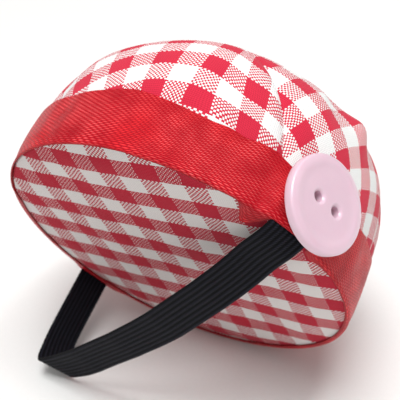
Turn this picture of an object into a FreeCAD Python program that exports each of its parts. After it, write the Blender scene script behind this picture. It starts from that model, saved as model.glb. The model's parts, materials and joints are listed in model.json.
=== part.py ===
"""Wrist pin cushion: a gathered gingham dome on a covered base disc, bound with a satin
ribbon, trimmed with a glued button and worn on a flat elastic strap.

Frame: millimetres, +Z up through the crown of the dome, origin at the middle of the base's
underside, +X towards the button. The strap hangs under the base, in a plane across +Y.
"""

import FreeCAD
import Part
import math
import os

import Sketcher

SIZES = {
    # layers of the cushion
    "base_radius": 35.0,
    "base_rim_round": 0.35,
    "dome_radius": 34.9,
    "dome_height": 39.9,
    "dome_wall_top": 17.2,
    "shoulder_radius": 16.0,
    "cloth": 0.4,
    "ply_gap": 0.05,
    "hem_inner_radius": 27.0,
    "wadding_thickness": 0.9,
    "board_thickness": 1.4,
    "seam_height": 1.8,
    "thread_radius": 0.15,
    "gather_radius": 28.0,
    "glue_radius": 26.5,
    # satin ribbon
    "ribbon_thickness": 0.4,
    "ribbon_height": 12.6,
    "ribbon_drop_angle": 4.6,
    "ribbon_bump_width": 8.8,
    "ribbon_bump_height": 6.0,
    # button
    "button_radius": 8.5,
    "button_back_radius": 7.3,
    "button_lip_radius": 7.4,
    "button_dish_radius": 6.3,
    "button_thickness": 3.0,
    "button_waist": 1.4,
    "button_floor": 2.4,
    "button_edge_round": 1.6,
    "button_hole_radius": 0.85,
    "button_hole_offset": 2.2,
    "button_mouth": 0.3,
    "button_standoff": 0.2,
    "button_side": 3.08,
    "button_level": 6.2,
    "button_turn": 2.7,
    "button_glue_radius": 4.5,
    "button_glue_depth": 2.2,
    # elastic strap
    "strap_width": 7.5,
    "strap_thickness": 0.9,
    "strap_side": 1.2,
    "strap_tuck": 15.0,
    "tab_reach": 4.0,
    "tab_slope": 26.0,
    "sway_gap": 0.9,
    "root_length": 4.4,
    "near_length": 13.4,
    "far_length": 10.9,
    "hinge_gap": 0.6,
    "fold_gap": 1.0,
    "open_end_gap": 1.0,
    "near_heading": 203.6,
    "near_curl": 3.5,
    "far_heading": 89.3,
}
NEAR_SECTIONS = 5
FAR_SECTIONS = 2

doc = FreeCAD.newDocument("wrist_pin_cushion")
sheet = doc.addObject("Spreadsheet::Sheet", "Sizes")
for row, (alias, number) in enumerate(SIZES.items(), start=1):
    sheet.set(f"A{row}", alias)
    sheet.set(f"B{row}", str(number))
    sheet.setAlias(f"B{row}", alias)
doc.recompute()

# levels and radii that follow from the sheet, as expressions in its cells; the lining is a
# cover's cloth and the slack inside it
LINING = "(Sizes.cloth + Sizes.ply_gap)"
BASE_HEM = "(Sizes.cloth + Sizes.wadding_thickness + Sizes.board_thickness + 3 * Sizes.ply_gap)"
BASE_TOP = f"({BASE_HEM} + Sizes.cloth)"
BASE_BOARD_FLOOR = f"({LINING} + Sizes.wadding_thickness + Sizes.ply_gap)"
DOME_FLOOR = f"({BASE_TOP} + Sizes.seam_height)"
DOME_BOARD_FLOOR = f"({DOME_FLOOR} + {LINING})"
STUFFING_FLOOR = f"({DOME_BOARD_FLOOR} + Sizes.board_thickness + Sizes.ply_gap)"
STRAP_LEVEL = f"({BASE_TOP} + Sizes.seam_height / 2)"
RIBBON_INSIDE = "(Sizes.base_radius + Sizes.ply_gap)"
RIBBON_OUTSIDE = f"({RIBBON_INSIDE} + Sizes.ribbon_thickness)"
STRAP_BACK = f"({RIBBON_INSIDE} + Sizes.strap_thickness)"
BUMP_INSIDE = f"({STRAP_BACK} + Sizes.ply_gap)"
BUMP_OUTSIDE = f"({BUMP_INSIDE} + Sizes.ribbon_thickness)"

# the dome's outline is a straight wall, a shoulder arc and a crown arc, each tangent to the next
SHOULDER_X = "(Sizes.dome_radius - Sizes.shoulder_radius)"
DOME_RISE = "(Sizes.dome_height - Sizes.dome_wall_top)"
CROWN_RADIUS = (
    f"(({SHOULDER_X}^2 + {DOME_RISE}^2 - Sizes.shoulder_radius^2)"
    f" / (2 * ({DOME_RISE} - Sizes.shoulder_radius)))"
)


def size(expression):
    """The number that an expression in the sheet's cells comes to."""
    return float(doc.base_cover.evalExpression(expression))


def add(kind, name, **expressions):
    """A document object whose properties are bound to expressions."""
    item = doc.addObject(kind, name)
    item.Label = name
    for prop, expression in expressions.items():
        item.setExpression(prop.replace("__", "."), expression)
    return item


def new_sketch(body, name, role):
    """An empty sketch on one of the body's own origin planes."""
    plane = next(f for f in body.Origin.OriginFeatures if f.Role == role)
    sketch = body.newObject("Sketcher::SketchObject", name)
    sketch.AttachmentSupport = [(plane, "")]
    sketch.MapMode = "FlatFace"
    return sketch


def bind(sketch, constraint, expression):
    number = sketch.addConstraint(constraint)
    sketch.setExpression(f"Constraints[{number}]", expression)


def bulged_arc(start, end, radius):
    """The shorter arc of a circle that runs counter-clockwise from start to end."""
    chord = end - start
    reach = math.sqrt(radius**2 - (chord.Length / 2) ** 2)
    left = FreeCAD.Vector(-chord.y, chord.x, 0).normalize()
    centre = (start + end) / 2 + left * reach
    angles = [math.atan2(p.y - centre.y, p.x - centre.x) for p in (start, end)]
    return Part.ArcOfCircle(Part.Circle(centre, FreeCAD.Vector(0, 0, 1), radius), *angles)


def outline(body, name, corners, arcs=None):
    """A closed sketch in the XZ plane with every corner bound to an (x, z) pair of expressions.

    arcs maps an edge, numbered by the corner it starts from, to its radius.
    """
    sketch = new_sketch(body, name, "XZ_Plane")
    arcs = arcs or {}
    points = [FreeCAD.Vector(size(x), size(z), 0) for x, z in corners]
    for edge, start in enumerate(points):
        end = points[(edge + 1) % len(points)]
        line = Part.LineSegment(start, end)
        sketch.addGeometry(bulged_arc(start, end, size(arcs[edge])) if edge in arcs else line)
    for edge in range(len(points)):
        sketch.addConstraint(Sketcher.Constraint("Coincident", edge, 2, (edge + 1) % len(points), 1))
    for edge, (x, z) in enumerate(corners):
        bind(sketch, Sketcher.Constraint("DistanceX", -1, 1, edge, 1, points[edge].x), x)
        bind(sketch, Sketcher.Constraint("DistanceY", -1, 1, edge, 1, points[edge].y), z)
    for edge, radius in arcs.items():
        bind(sketch, Sketcher.Constraint("Radius", edge, size(radius)), radius)
    return sketch


def turned(body, kind, name, corners, arcs=None):
    """A full turn about the body's Z axis of an outline, added (Revolution) or cut (Groove)."""
    sketch = outline(body, f"{name}_outline", corners, arcs)
    feature = body.newObject(f"PartDesign::{kind}", name)
    feature.Profile = sketch
    feature.ReferenceAxis = (sketch, ["V_Axis"])
    feature.Angle = 360
    doc.recompute()
    return feature


def box_outline(inner, outer, low, high):
    return [(inner, low), (outer, low), (outer, high), (inner, high)]


def dome_outline(inset, floor):
    """The corners and arcs of the dome's half outline, inset from its outer face."""
    shoulder = f"(Sizes.shoulder_radius - {inset})"
    side = f"(Sizes.dome_radius - {inset})"
    share = f"{shoulder} / ({CROWN_RADIUS} - Sizes.shoulder_radius)"
    meet_x = f"{SHOULDER_X} + {SHOULDER_X} * {share}"
    meet_z = f"Sizes.dome_wall_top + ({CROWN_RADIUS} - {DOME_RISE}) * {share}"
    corners = [
        ("0", floor),
        (side, floor),
        (side, "Sizes.dome_wall_top"),
        (meet_x, meet_z),
        ("0", f"Sizes.dome_height - {inset}"),
    ]
    return corners, {2: shoulder, 3: f"{CROWN_RADIUS} - {inset}"}


def make_base_cover():
    """Gingham drawn over the base disc, with its hem turned in on top."""
    body = add("PartDesign::Body", "base_cover")
    disc = box_outline("0", "Sizes.base_radius", "0", BASE_TOP)
    blank = turned(body, "Revolution", "base_blank", disc)
    rim = [
        f"Edge{number}"
        for number, edge in enumerate(blank.Shape.Edges, start=1)
        if abs(edge.BoundBox.ZMax) < 1e-6 and edge.Closed
    ]
    rounded = body.newObject("PartDesign::Fillet", "base_rim")
    rounded.Base = (blank, rim)
    rounded.setExpression("Radius", "Sizes.base_rim_round")
    doc.recompute()
    inside = "Sizes.base_radius - Sizes.cloth"
    turned(body, "Groove", "base_room", box_outline("0", inside, "Sizes.cloth", BASE_HEM))
    turned(body, "Groove", "base_mouth", box_outline("0", "Sizes.hem_inner_radius", BASE_HEM, BASE_TOP))


def make_dome_cover():
    """Gingham gathered over the stuffing, with its hem turned in underneath."""
    body = add("PartDesign::Body", "dome_cover")
    turned(body, "Revolution", "dome_blank", *dome_outline("0", DOME_FLOOR))
    turned(body, "Groove", "dome_room", *dome_outline("Sizes.cloth", f"{DOME_FLOOR} + Sizes.cloth"))
    mouth = box_outline("0", "Sizes.hem_inner_radius", DOME_FLOOR, f"{DOME_FLOOR} + Sizes.cloth")
    turned(body, "Groove", "dome_mouth", mouth)


def make_dome_stuffing():
    body = add("PartDesign::Body", "dome_stuffing")
    turned(body, "Revolution", "stuffing_fill", *dome_outline(LINING, STUFFING_FLOOR))


def make_discs():
    """The wadding and the two stiff boards."""
    discs = {
        "base_wadding": ("Sizes.base_radius", LINING, "Sizes.wadding_thickness"),
        "base_board": ("Sizes.base_radius", BASE_BOARD_FLOOR, "Sizes.board_thickness"),
        "dome_board": ("Sizes.dome_radius", DOME_BOARD_FLOOR, "Sizes.board_thickness"),
    }
    for name, (radius, floor, thickness) in discs.items():
        add("Part::Cylinder", name, Radius=f"{radius} - {LINING}", Height=thickness,
            Placement__Base__z=floor)


def make_gather_threads():
    """The drawn-up running stitches that hold each hem, as two rings of thread."""
    levels = {
        "base_gather_thread": f"{BASE_TOP} + Sizes.thread_radius + Sizes.ply_gap",
        "dome_gather_thread": f"{DOME_FLOOR} - Sizes.thread_radius - Sizes.ply_gap",
    }
    for name, level in levels.items():
        add("Part::Torus", name, Radius1="Sizes.gather_radius", Radius2="Sizes.thread_radius",
            Placement__Base__z=level)


def centred_box(name, length, width, height, floor):
    """A box centred on the strap's plane in Y and on the origin in X."""
    return add("Part::Box", name, Length=length, Width=width, Height=height,
               Placement__Base__x=f"-({length}) / 2",
               Placement__Base__y=f"Sizes.strap_side - ({width}) / 2",
               Placement__Base__z=floor)


def make_assembly_glue():
    """The glue that joins base and dome, with a channel for the strap's tucked ends."""
    low = f"{BASE_HEM} + Sizes.ply_gap"
    high = f"{DOME_BOARD_FLOOR} - Sizes.ply_gap"
    blank = add("Part::Cylinder", "glue_blank", Radius="Sizes.glue_radius",
                Height=f"{high} - ({low})", Placement__Base__z=low)
    channel = centred_box("glue_channel", "2 * Sizes.base_radius",
                          "Sizes.strap_width + 2 * Sizes.ply_gap",
                          "Sizes.strap_thickness + 2 * Sizes.ply_gap",
                          f"{STRAP_LEVEL} - Sizes.strap_thickness / 2 - Sizes.ply_gap")
    core = centred_box("glue_core", "2 * (Sizes.base_radius - Sizes.strap_tuck - Sizes.ply_gap)",
                       "Sizes.strap_width + 4 * Sizes.ply_gap",
                       "Sizes.strap_thickness + 4 * Sizes.ply_gap",
                       f"{STRAP_LEVEL} - Sizes.strap_thickness / 2 - 2 * Sizes.ply_gap")
    pockets = add("Part::Cut", "glue_pockets")
    pockets.Base = channel
    pockets.Tool = core
    glue = add("Part::Cut", "assembly_glue")
    glue.Base = blank
    glue.Tool = pockets


def ribbon_solid(name, radius, bump_reach, bump_width, bump_height):
    """A filled drum with the bump that the strap's ends raise in the ribbon on both sides."""
    drum = add("Part::Cylinder", f"{name}_drum", Radius=radius, Height="Sizes.ribbon_height")
    bump = centred_box(f"{name}_bump", f"2 * {bump_reach}", bump_width, bump_height, "0")
    solid = add("Part::Fuse", name)
    solid.Base = drum
    solid.Tool = bump
    return solid


def make_ribbon_band():
    """Satin ribbon round the side. Its top edge drops towards the button."""
    outer = ribbon_solid("ribbon_outer", RIBBON_OUTSIDE, BUMP_OUTSIDE,
                         "Sizes.ribbon_bump_width + 2 * Sizes.ribbon_thickness",
                         "Sizes.ribbon_bump_height")
    inner = ribbon_solid("ribbon_inner", RIBBON_INSIDE, BUMP_INSIDE, "Sizes.ribbon_bump_width",
                         "Sizes.ribbon_bump_height - Sizes.ribbon_thickness")
    ring = add("Part::Cut", "ribbon_ring")
    ring.Base = outer
    ring.Tool = inner
    trim = add("Part::Box", "ribbon_trim", Length="2 * Sizes.base_radius",
               Width="4 * Sizes.base_radius", Height="Sizes.base_radius",
               Placement__Base__y="-2 * Sizes.base_radius",
               Placement__Base__z="Sizes.ribbon_height")
    trim.Placement.Rotation = FreeCAD.Rotation(FreeCAD.Vector(0, 1, 0), size("Sizes.ribbon_drop_angle"))
    band = add("Part::Cut", "ribbon_band")
    band.Base = ring
    band.Tool = trim


def stand_on_button_axis(item, depth):
    """Turns an item's Z axis outwards and puts its origin a depth behind the button's back."""
    outwards = FreeCAD.Rotation(FreeCAD.Vector(0, 0, 1), size("Sizes.button_turn"))
    item.Placement.Rotation = outwards.multiply(FreeCAD.Rotation(FreeCAD.Vector(0, 1, 0), 90))
    back = f"{BUMP_OUTSIDE} + Sizes.button_standoff"
    item.setExpression("Placement.Base.x", f"{back} - {depth} * cos(Sizes.button_turn)")
    item.setExpression("Placement.Base.y", f"Sizes.button_side - {depth} * sin(Sizes.button_turn)")
    item.setExpression("Placement.Base.z", "Sizes.button_level")


def make_button():
    """A dished two-hole button with a rounded edge."""
    body = add("PartDesign::Body", "button")
    corners = [
        ("0", "0"),
        ("Sizes.button_back_radius", "0"),
        ("Sizes.button_radius", "Sizes.button_waist"),
        ("Sizes.button_lip_radius", "Sizes.button_thickness"),
        ("Sizes.button_dish_radius", "Sizes.button_floor"),
        ("0", "Sizes.button_floor"),
    ]
    edge_round = "Sizes.button_edge_round"
    turned(body, "Revolution", "button_blank", corners, {1: edge_round, 2: edge_round})
    circle = new_sketch(body, "button_hole_circle", "XY_Plane")
    offset = size("Sizes.button_hole_offset")
    radius = size("Sizes.button_hole_radius")
    circle.addGeometry(Part.Circle(FreeCAD.Vector(0, offset, 0), FreeCAD.Vector(0, 0, 1), radius))
    bind(circle, Sketcher.Constraint("Radius", 0, radius), "Sizes.button_hole_radius")
    bind(circle, Sketcher.Constraint("DistanceX", -1, 1, 0, 3, 0), "0")
    bind(circle, Sketcher.Constraint("DistanceY", -1, 1, 0, 3, offset), "Sizes.button_hole_offset")
    hole = body.newObject("PartDesign::Pocket", "button_hole")
    hole.Profile = circle
    hole.Reversed = True
    hole.setExpression("Length", "Sizes.button_thickness")
    doc.recompute()
    holes = body.newObject("PartDesign::PolarPattern", "button_holes")
    holes.Originals = [hole]
    holes.Axis = (circle, ["N_Axis"])
    holes.Angle = 360
    holes.Occurrences = 2
    body.Tip = holes
    doc.recompute()
    mouths = [
        f"Edge{number}"
        for number, edge in enumerate(holes.Shape.Edges, start=1)
        if edge.Closed and abs(edge.BoundBox.ZMin - size("Sizes.button_floor")) < 1e-4
        and edge.BoundBox.XLength < 4 * radius
    ]
    mouth = body.newObject("PartDesign::Chamfer", "button_mouths")
    mouth.Base = (holes, mouths)
    mouth.setExpression("Size", "Sizes.button_mouth")
    body.Tip = mouth
    stand_on_button_axis(body, "0")


def make_button_glue():
    """The dab of glue between the button's back and the ribbon."""
    dab = add("Part::Cylinder", "glue_dab", Radius="Sizes.button_glue_radius",
              Height="Sizes.button_glue_depth")
    stand_on_button_axis(dab, "Sizes.button_glue_depth")
    glue = add("Part::Cut", "button_glue")
    glue.Base = dab
    glue.Tool = doc.ribbon_outer


def make_strap_end(name, side):
    """An end of the elastic: tucked between base and dome, then down under the ribbon.

    On the near side (1) it also turns inwards under the base, where the loop starts.
    """
    body = add("PartDesign::Body", name)
    half = "Sizes.strap_thickness / 2"
    tuck = "Sizes.base_radius - Sizes.strap_tuck"
    bend = f"(-Sizes.ply_gap - Sizes.strap_thickness * tan((90 - Sizes.tab_slope) / 2))"
    end_x = f"{STRAP_BACK} - Sizes.tab_reach * cos(Sizes.tab_slope)"
    end_z = f"{bend} - Sizes.tab_reach * sin(Sizes.tab_slope)"
    inside = [
        (tuck, f"{STRAP_LEVEL} - {half}"),
        (tuck, f"{STRAP_LEVEL} + {half}"),
        (STRAP_BACK, f"{STRAP_LEVEL} + {half}"),
    ]
    turned_in = [
        (STRAP_BACK, bend),
        (end_x, end_z),
        (f"{end_x} - Sizes.strap_thickness * sin(Sizes.tab_slope)",
         f"{end_z} + Sizes.strap_thickness * cos(Sizes.tab_slope)"),
        (RIBBON_INSIDE, "-Sizes.ply_gap"),
    ]
    straight = [(STRAP_BACK, "-Sizes.ply_gap"), (RIBBON_INSIDE, "-Sizes.ply_gap")]
    below = turned_in if side > 0 else straight
    corners = inside + below + [(RIBBON_INSIDE, f"{STRAP_LEVEL} - {half}")]
    sketch = outline(body, f"{name}_outline", [(f"{side} * ({x})", z) for x, z in corners])
    pad = body.newObject("PartDesign::Pad", f"{name}_pad")
    pad.Profile = sketch
    pad.SideType = "Symmetric"
    pad.setExpression("Length", "Sizes.strap_width")
    body.setExpression("Placement.Base.y", "Sizes.strap_side")


def make_strap_section(name, length, start_gap, end_gap=None):
    """A straight stretch of the elastic from its own origin along +X.

    Its far end is round about the hinge to the next section, or square where end_gap is given.
    """
    straight = f"{length} - {start_gap} - {end_gap or '0'}"
    strip = add("Part::Box", f"{name}_strip", Length=straight, Width="Sizes.strap_width",
                Height="Sizes.strap_thickness", Placement__Base__x=start_gap,
                Placement__Base__y="-Sizes.strap_width / 2",
                Placement__Base__z="-Sizes.strap_thickness / 2")
    knuckle = add("Part::Cylinder", f"{name}_knuckle", Radius="Sizes.strap_thickness / 2",
                  Height="Sizes.strap_width", Placement__Base__x=f"{start_gap} + {straight}",
                  Placement__Base__y="Sizes.strap_width / 2")
    knuckle.Placement.Rotation = FreeCAD.Rotation(FreeCAD.Vector(1, 0, 0), 90)
    section = add("Part::Fuse", name)
    section.Base = strip
    section.Tool = knuckle
    return section


def make_strap_loop():
    """The free part of the elastic as a chain of straight sections, hinged end to end."""
    slope = math.radians(size("Sizes.tab_slope"))
    along = FreeCAD.Vector(-math.cos(slope), 0, -math.sin(slope))
    above = FreeCAD.Vector(-math.sin(slope), 0, math.cos(slope))
    half_turn = math.tan((math.pi / 2 - slope) / 2)
    thickness = size("Sizes.strap_thickness")
    bend = FreeCAD.Vector(size(STRAP_BACK), size("Sizes.strap_side"),
                          -size("Sizes.ply_gap") - thickness * half_turn)
    here = bend + along * size("Sizes.tab_reach") + above * (thickness / 2)
    near = [
        (size("Sizes.near_heading") - size("Sizes.near_curl") * number, "Sizes.near_length")
        for number in range(NEAR_SECTIONS)
    ]
    far = [(size("Sizes.far_heading"), "Sizes.far_length")] * FAR_SECTIONS
    run = [(180 + size("Sizes.tab_slope"), "Sizes.root_length")] + near + far
    for number, (heading, length) in enumerate(run):
        gap = {0: "Sizes.sway_gap", NEAR_SECTIONS + 1: "Sizes.fold_gap"}.get(number, "Sizes.hinge_gap")
        last = number == len(run) - 1
        section = make_strap_section(f"strap_section_{number}", length, gap,
                                     "Sizes.open_end_gap" if last else None)
        turn = FreeCAD.Rotation(FreeCAD.Vector(0, 1, 0), -heading)
        section.Placement = FreeCAD.Placement(here, turn)
        here = here + turn.multVec(FreeCAD.Vector(size(length), 0, 0))


make_base_cover()
make_dome_cover()
make_dome_stuffing()
make_discs()
make_gather_threads()
make_assembly_glue()
make_ribbon_band()
make_button()
make_button_glue()
make_strap_end("strap_near_end", 1)
make_strap_end("strap_far_end", -1)
make_strap_loop()
doc.recompute()

NODES = [
    "base_cover", "base_wadding", "base_board", "base_gather_thread", "assembly_glue",
    "dome_board", "dome_gather_thread", "dome_stuffing", "dome_cover", "ribbon_band",
    "button", "button_glue", "strap_near_end", "strap_far_end",
] + [f"strap_section_{number}" for number in range(NEAR_SECTIONS + FAR_SECTIONS + 1)]

for item in doc.Objects:
    if {"Invalid", "Error"} & set(item.State):
        raise RuntimeError(f"{item.Label} did not recompute: {item.State}")
os.makedirs("parts", exist_ok=True)
for node in NODES:
    shape = doc.getObject(node).Shape
    if shape.isNull() or not shape.isValid() or len(shape.Solids) != 1:
        raise RuntimeError(f"{node} is not one valid solid")
    shape.exportStep(f"parts/{node}.step")
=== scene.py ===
"""The looks of the wrist pin cushion: gathered gingham, satin ribbon, ribbed elastic and a
plastic button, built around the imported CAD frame.

Shapes and places are in millimetres, turned into metres by add_mesh and add_object. The object's
frame has +Z up through the crown of the dome and +X towards the button.
"""

import json
import math
from functools import partialmethod

import bpy
import numpy as np
from mathutils import Matrix, Vector
from mathutils.geometry import delaunay_2d_cdt


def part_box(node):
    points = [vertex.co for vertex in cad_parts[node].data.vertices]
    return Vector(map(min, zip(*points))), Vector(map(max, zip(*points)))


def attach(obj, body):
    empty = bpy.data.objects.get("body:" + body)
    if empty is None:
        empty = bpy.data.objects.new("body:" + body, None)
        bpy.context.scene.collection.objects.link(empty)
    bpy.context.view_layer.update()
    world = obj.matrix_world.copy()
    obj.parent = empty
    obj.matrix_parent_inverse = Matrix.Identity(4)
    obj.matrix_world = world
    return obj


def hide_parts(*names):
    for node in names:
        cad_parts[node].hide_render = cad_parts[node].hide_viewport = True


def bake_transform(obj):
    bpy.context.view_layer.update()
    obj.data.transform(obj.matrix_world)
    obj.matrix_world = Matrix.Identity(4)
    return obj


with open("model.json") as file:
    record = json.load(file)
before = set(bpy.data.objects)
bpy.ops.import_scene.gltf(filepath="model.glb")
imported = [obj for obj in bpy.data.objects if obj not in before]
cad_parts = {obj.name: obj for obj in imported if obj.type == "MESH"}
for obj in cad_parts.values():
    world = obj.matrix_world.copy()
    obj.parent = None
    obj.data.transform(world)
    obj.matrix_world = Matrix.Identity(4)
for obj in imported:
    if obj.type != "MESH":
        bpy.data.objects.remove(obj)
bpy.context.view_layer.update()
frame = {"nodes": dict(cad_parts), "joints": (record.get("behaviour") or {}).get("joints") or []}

MM = 0.001
UP = (0, 0, 1)


def node_box(node):
    """The lowest and highest corner of a CAD node, in millimetres."""
    return [np.array(corner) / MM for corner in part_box(node)]


DOME_FLOOR = node_box("dome_cover")[0][2]
DOME_RADIUS, _, DOME_TOP = node_box("dome_cover")[1]
BASE_RADIUS, _, BASE_TOP = node_box("base_cover")[1]
COTTON_THICKNESS = 0.24

# the dome's outline is upright up to WAIST and a superellipse above it
WAIST = 11.1
CROWN_POWER = 2.66
CROWN_SHIFT = np.array([0.7, 1.1])
HEM_INNER_RADIUS = 27.5

# the gingham: one repeat is a dyed stripe and a white stripe, of so many threads together
REPEAT = 8.63
THREADS = 22
THREAD_PITCH = REPEAT / THREADS


# ---- numbers


def smoothstep(low, high, x):
    t = np.clip((x - low) / (high - low), 0, 1)
    return t * t * (3 - 2 * t)


def eased(table, x, spread):
    """A value from a table of (x, value) pairs, averaged over a spread to either side."""
    places, values = np.transpose(table)
    near = [np.interp(x + step * spread, places, values) for step in (-1, -0.5, 0, 0.5, 1)]
    return np.mean(near, 0)


def bell(x, centre, width):
    return np.exp(-(((x - centre) / width) ** 2))


def lattice_value(cell, seed):
    """A fixed pseudo-random number from -1 to 1 for each whole-numbered cell."""
    key = (cell @ np.array([73856093, 19349663, 83492791]) + seed * 40503) & 0xFFFFFFFF
    key = ((key ^ (key >> 15)) * 2246822519) & 0xFFFFFFFF
    key = ((key ^ (key >> 13)) * 3266489917) & 0xFFFFFFFF
    return ((key ^ (key >> 16)) & 0xFFFF) / 32767.5 - 1


def noise_at(points, scale, seed):
    """Smooth noise from -1 to 1 at each point, with lumps about a scale wide."""
    place = points / scale
    cell = np.floor(place).astype(np.int64)
    share = smoothstep(0, 1, place - cell)
    total = np.zeros(place.shape[:-1])
    for corner in np.ndindex(2, 2, 2):
        weight = np.where(np.array(corner) == 1, share, 1 - share).prod(-1)
        total += weight * lattice_value(cell + corner, seed)
    return total


def way_along(x, y):
    """The length of the way from the origin along a line of flat points, up to each."""
    return np.cumsum(np.hypot(np.diff(x, prepend=0), np.diff(y, prepend=0)))


def wrapped(degrees, centre):
    """How far a direction lies from the centre's, within half a turn either way."""
    return (degrees - centre + 180) % 360 - 180


# ---- meshes


def grid_faces(rows, columns, wrap_rows=False):
    """Quads between rings of points numbered ring by ring; the last ring may join the first."""
    return [
        (row * columns + column, (row + 1) % rows * columns + column,
         (row + 1) % rows * columns + (column + 1) % columns, row * columns + (column + 1) % columns)
        for row in range(rows if wrap_rows else rows - 1) for column in range(columns)
    ]


def fan_faces(centre, ring):
    """Triangles from one point to each edge of a closed ring of points."""
    return [(centre, ring[k], ring[(k + 1) % len(ring)]) for k in range(len(ring))]


def spun(radius, angle, height):
    """Points at a radius and a height in each direction."""
    return np.stack(np.broadcast_arrays(radius * np.cos(angle), radius * np.sin(angle), height), -1)


def add_object(name, data=None, place=(0, 0, 0)):
    """A new object in the scene, with its place in millimetres: an empty unless it gets data."""
    item = bpy.data.objects.new(name, data)
    bpy.context.scene.collection.objects.link(item)
    item.location = Vector(place) * MM
    return item


def add_mesh(name, points, faces, sharp_angle=80):
    """A smooth-shaded mesh object from points in millimetres."""
    mesh = bpy.data.meshes.new(name)
    mesh.from_pydata([tuple(point) for point in np.reshape(points, (-1, 3)) * MM], [], faces)
    mesh.polygons.foreach_set("use_smooth", [True] * len(mesh.polygons))
    mesh.set_sharp_from_angle(angle=math.radians(sharp_angle))
    return add_object(name, mesh)


def add_shell(name, points, *poles, flip=False):
    """A round shell over rings of points, closed by a pole inside the first ring and, if there are
    two poles, by another inside the last."""
    rows, columns = points.shape[:2]
    count = rows * columns
    faces = grid_faces(rows, columns) + fan_faces(count, range(columns))
    if len(poles) > 1:
        faces += fan_faces(count + 1, range(count - columns, count)[::-1])
    if flip:
        faces = [face[::-1] for face in faces]
    return add_mesh(name, np.vstack([points.reshape(-1, 3), *poles]), faces)


def set_fabric(item, corner_coordinates):
    """Stores where each face corner lies in the flat fabric, in threads, ribs or millimetres."""
    layer = item.data.attributes.new("fabric", "FLOAT_VECTOR", "CORNER")
    flat = np.zeros((len(item.data.loops), 3), np.float32)
    flat[:, :2] = corner_coordinates
    layer.data.foreach_set("vector", flat.ravel())


def loop_vertices(item):
    """The vertex of every face corner."""
    numbers = np.zeros(len(item.data.loops), np.int32)
    item.data.loops.foreach_get("vertex_index", numbers)
    return numbers


def face_numbers(item):
    """The face of every face corner."""
    sizes = [polygon.loop_total for polygon in item.data.polygons]
    return np.repeat(np.arange(len(sizes)), sizes)


def thicken(item):
    """Gives a sheet of cotton its thickness, inwards."""
    solid = item.modifiers.new("cloth_thickness", "SOLIDIFY")
    solid.thickness = COTTON_THICKNESS * MM
    solid.offset = -1


def finish_piece(item, material, node):
    """Rides a piece on the cushion, with its material, in place of the CAD node it stands for."""
    item.data.materials.append(material)
    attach(item, "cushion")
    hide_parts(node)


# ---- the dome's cover

# each fold: its azimuth at the hem, how far its straight line in the flat fabric passes from the
# crown, how deep it is, and the arc length from the crown at which it starts
FOLDS = [
    (-8.9, 24.0, 1.0, 26.0),
    (46.0, 9.0, 0.9, 30.0),
    (92.0, -6.0, 0.8, 31.0),
    (136.0, 10.0, 0.9, 29.0),
    (181.0, -8.0, 0.8, 32.0),
    (224.0, 7.0, 0.9, 30.0),
    (263.0, -6.0, 0.7, 34.0),
]
# each panel, from its fold to the next: the azimuth at which its threads lie as they would
# without gathers, the share of the cloth's width left beside the gathers, how far its folds have
# turned the cloth, in degrees, and how far they have shifted it each way, in millimetres
PANELS = [
    (0.0, 0.95, -2.34, 2.57, -0.60),
    (70.0, 0.85, 0.0, 2.1, 1.2),
    (115.0, 0.85, 0.0, -1.5, 2.4),
    (159.0, 0.85, 0.0, 1.8, -2.0),
    (203.0, 0.85, 0.0, -2.2, -1.1),
    (244.0, 0.85, 0.0, 1.4, 1.9),
    (300.0, 0.779, 0.0, 0.0, 0.0),
]
# the panel whose threads the deepest fold drags along
DRAGGED_PANEL = 6
# the arc length at which the folds' azimuths are given, and the least at which they still turn
FOLD_REFERENCE = 50.7
FOLD_INNERMOST = 26.0
# the arc length over which a fold deepens, and how wide its valley is on either side
FOLD_FADE = 14
VALLEY_AFTER = 1.9
VALLEY_BEFORE = 1.2
# wrinkles of the cover: the arc lengths between which they set in, their depth, size and seed
DOME_WRINKLES = [(34, 52, 0.42, 4.2, 1), (10, 40, 0.35, 11.0, 2)]
# the bulge above the button and the dent beside it: azimuth, its spread, arc length, its spread, rise
DOME_LUMPS = [(15.5, 5.0, 33.5, 4.2, 1.9), (3.0, 3.6, 33.0, 4.5, -0.7)]
PANEL_COLUMN_DEGREES = 1.3
DOME_ROWS = 82
HEM_ROWS = 7
RED_CELL = (24.577, -33.966)
THREAD_ANGLE = 48.46
# the cloth simulation that puffs the cover up, at ten times its size
PUFF_SCALE = 10
PUFF_FRAMES = 20
PUFF_LIMIT = 0.5
COTTON = {
    "quality": 6, "mass": 0.3, "tension_stiffness": 20, "compression_stiffness": 20,
    "shear_stiffness": 8, "bending_stiffness": 0.5, "use_pressure": True,
    "uniform_pressure_force": 4, "vertex_group_mass": "held", "pin_stiffness": 5,
}


def dome_outline():
    """Arc length from the crown, radius and height, from the crown down to the dome's floor."""
    q = np.sin(np.linspace(math.pi / 2, 0, 2000))
    height = np.append(WAIST + (DOME_TOP - WAIST) * q, DOME_FLOOR)
    radius = DOME_RADIUS * np.sqrt(np.clip(1 - np.append(q, 0) ** CROWN_POWER, 0, 1))
    return way_along(radius, height - DOME_TOP), radius, height


ARC, ARC_RADIUS, ARC_HEIGHT = dome_outline()


def fold_azimuth(fold, arc):
    """Where a fold lies at an arc length from the crown: a straight line in the flat fabric."""
    at_hem, offset = np.moveaxis(np.array(FOLDS)[fold % len(FOLDS), :2], -1, 0)
    at_hem = at_hem + 360 * (fold // len(FOLDS))
    lean = np.degrees(np.arcsin(offset / FOLD_REFERENCE))
    return at_hem + lean - np.degrees(np.arcsin(offset / np.maximum(arc, FOLD_INNERMOST)))


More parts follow.
